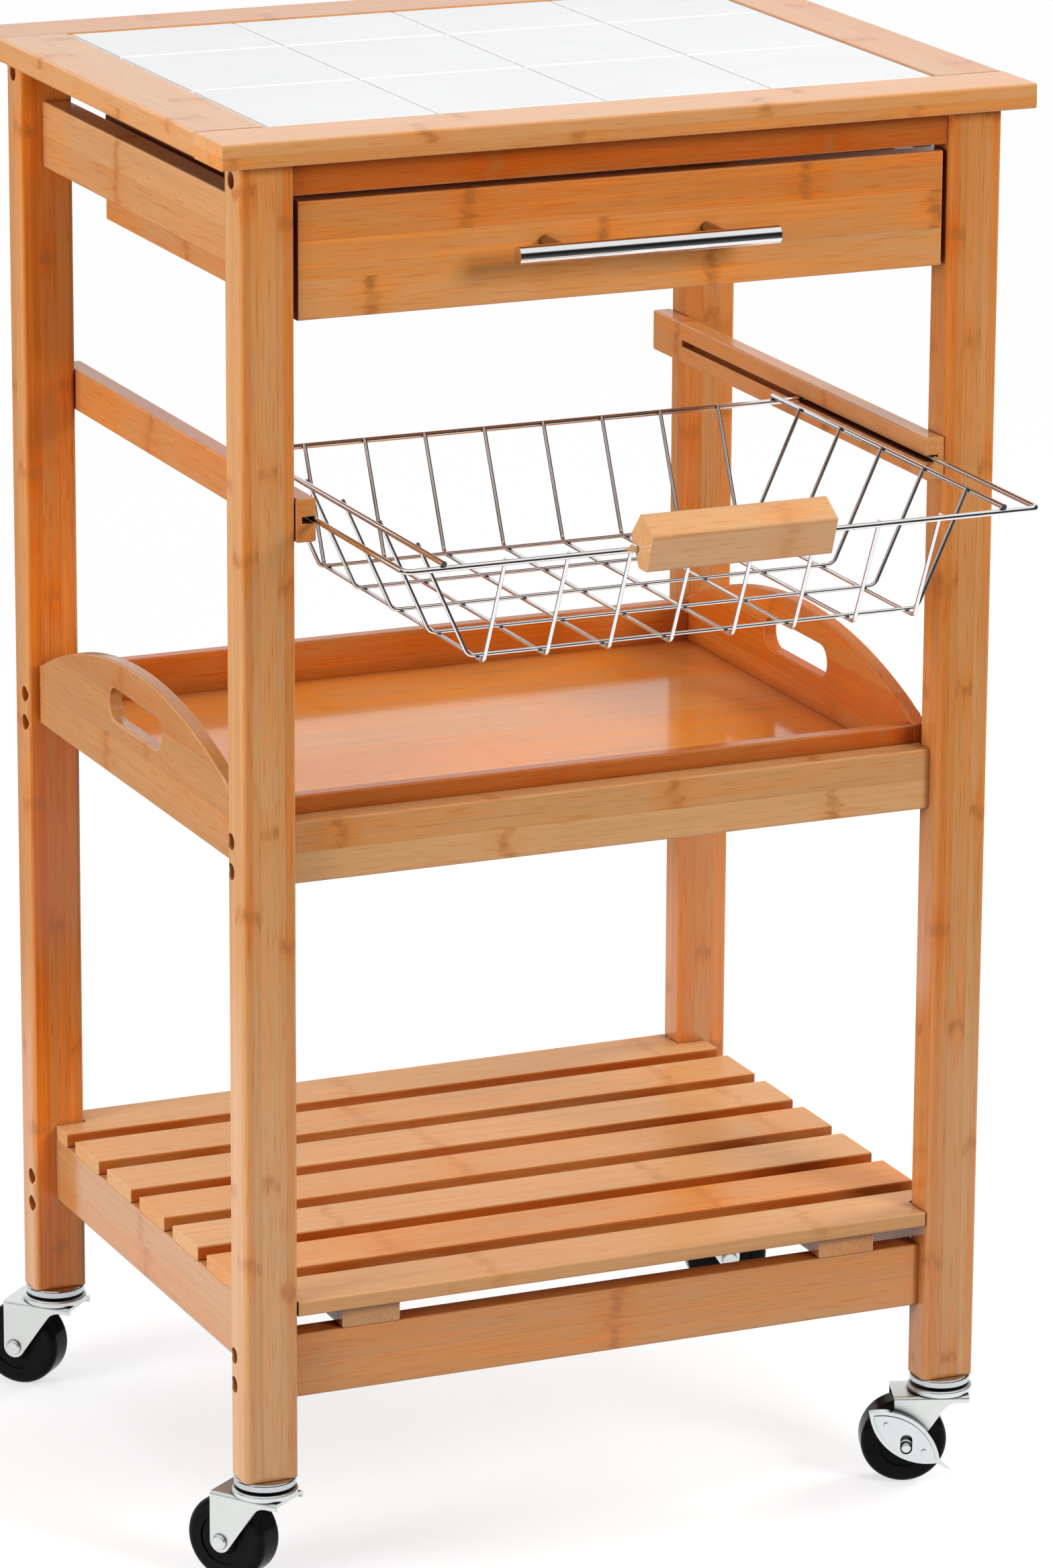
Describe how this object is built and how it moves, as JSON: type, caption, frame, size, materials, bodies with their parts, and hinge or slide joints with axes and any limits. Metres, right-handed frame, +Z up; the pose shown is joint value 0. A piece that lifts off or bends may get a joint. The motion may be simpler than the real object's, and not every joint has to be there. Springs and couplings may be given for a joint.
{
  "type": "rolling kitchen cart",
  "caption": "Narrow bamboo kitchen cart on swivel casters with a tiled worktop, a drawer, a pull-out wire basket, a lift-out serving tray and a slatted shelf.",
  "frame": {"origin": "on the floor, in the middle of the footprint with the basket pulled out as in the picture", "axes": "+X to the right along the front, +Y to the back, +Z up"},
  "size_m": [0.504, 0.5342, 0.821],
  "materials": {
    "bamboo": "satin lacquer",
    "tile": "glossy",
    "grout": "matte",
    "chrome": "polished",
    "zinc": "bright zinc",
    "bolt": "dull",
    "wheel": "glossy"
  },
  "bodies": {
    "frame": {"leg_front_left": "bamboo", "leg_front_right": "bamboo", "leg_back_left": "bamboo", "leg_back_right": "bamboo", "frame_bolts": "bolt", "caster_stems": "chrome", "drawer_runners": "bamboo", "tray_cleats": "bamboo", "shelf_slats": "bamboo", "shelf_battens": "bamboo", "tile_backing": "bamboo", "tiles": "tile", "tile_grout": "grout", "apron_left": "bamboo", "apron_right": "bamboo", "basket_runner_left": "bamboo", "basket_runner_right": "bamboo", "top_rail_front": "bamboo", "top_rail_back": "bamboo", "tray_rail_front": "bamboo", "tray_rail_back": "bamboo", "base_rail_front": "bamboo", "base_rail_back": "bamboo", "worktop_front": "bamboo", "worktop_back": "bamboo", "base_rail_left": "bamboo", "base_rail_right": "bamboo", "worktop_left": "bamboo", "worktop_right": "bamboo"},
    "drawer": {"drawer_front": "bamboo", "drawer_side_left": "bamboo", "drawer_side_right": "bamboo", "drawer_back": "bamboo", "drawer_bottom": "bamboo", "pull_bar": "chrome", "pull_posts": "chrome"},
    "basket": {"basket_rim": "chrome", "basket_side_wires": "chrome", "basket_long_wires": "chrome", "basket_cross_wires": "chrome", "basket_grip": "bamboo"},
    "tray": {"tray_end_left": "bamboo", "tray_end_right": "bamboo", "tray_side_front": "bamboo", "tray_side_back": "bamboo", "tray_floor": "bamboo"},
    "swivel_front_left": {"caster_fork_front_left": "zinc", "caster_axle_front_left": "zinc"},
    "wheel_front_left": {"caster_wheel_front_left": "wheel"},
    "swivel_front_right": {"caster_fork_front_right": "zinc", "caster_axle_front_right": "zinc"},
    "wheel_front_right": {"caster_wheel_front_right": "wheel"},
    "brake": {"brake_lever": "chrome"},
    "swivel_back_left": {"caster_fork_back_left": "zinc", "caster_axle_back_left": "zinc"},
    "wheel_back_left": {"caster_wheel_back_left": "wheel"},
    "swivel_back_right": {"caster_fork_back_right": "zinc", "caster_axle_back_right": "zinc"},
    "wheel_back_right": {"caster_wheel_back_right": "wheel"}
  },
  "joints": [
    {"name": "drawer_slide", "type": "slide", "parent": "frame", "child": "drawer", "axis": [0, -1, 0], "range_m": [0, 0.25]},
    {"name": "basket_slide", "type": "slide", "parent": "frame", "child": "basket", "axis": [0, -1, 0], "range_m": [-0.155, 0.04]},
    {"name": "tray_slide", "type": "slide", "parent": "frame", "child": "tray", "axis": [1, 0, 0], "range_m": [-0.19, 0.21]},
    {"name": "swivel_front_left", "type": "hinge", "parent": "frame", "child": "swivel_front_left", "pos_m": [-0.21425, -0.11155, 0.0595], "axis": [0, 0, 1], "continuous": true},
    {"name": "spin_front_left", "type": "hinge", "parent": "swivel_front_left", "child": "wheel_front_left", "pos_m": [-0.22659, -0.09456, 0.025], "axis": [-0.809, -0.5878, 0], "continuous": true},
    {"name": "swivel_front_right", "type": "hinge", "parent": "frame", "child": "swivel_front_right", "pos_m": [0.20575, -0.11155, 0.0595], "axis": [0, 0, 1], "continuous": true},
    {"name": "spin_front_right", "type": "hinge", "parent": "swivel_front_right", "child": "wheel_front_right", "pos_m": [0.18602, -0.10436, 0.025], "axis": [-0.342, -0.9397, 0], "continuous": true},
    {"name": "brake_rock", "type": "hinge", "parent": "swivel_front_right", "child": "brake", "pos_m": [0.18602, -0.10436, 0.025], "axis": [-0.342, -0.9397, 0], "range_deg": [-22, 0]},
    {"name": "swivel_back_left", "type": "hinge", "parent": "frame", "child": "swivel_back_left", "pos_m": [-0.21425, 0.22845, 0.0595], "axis": [0, 0, 1], "continuous": true},
    {"name": "spin_back_left", "type": "hinge", "parent": "swivel_back_left", "child": "wheel_back_left", "pos_m": [-0.22884, 0.24356, 0.025], "axis": [-0.7193, -0.6947, 0], "continuous": true},
    {"name": "swivel_back_right", "type": "hinge", "parent": "frame", "child": "swivel_back_right", "pos_m": [0.20575, 0.22845, 0.0595], "axis": [0, 0, 1], "continuous": true},
    {"name": "spin_back_right", "type": "hinge", "parent": "swivel_back_right", "child": "wheel_back_right", "pos_m": [0.22621, 0.22373, 0.025], "axis": [0.225, 0.9744, 0], "continuous": true}
  ]
}
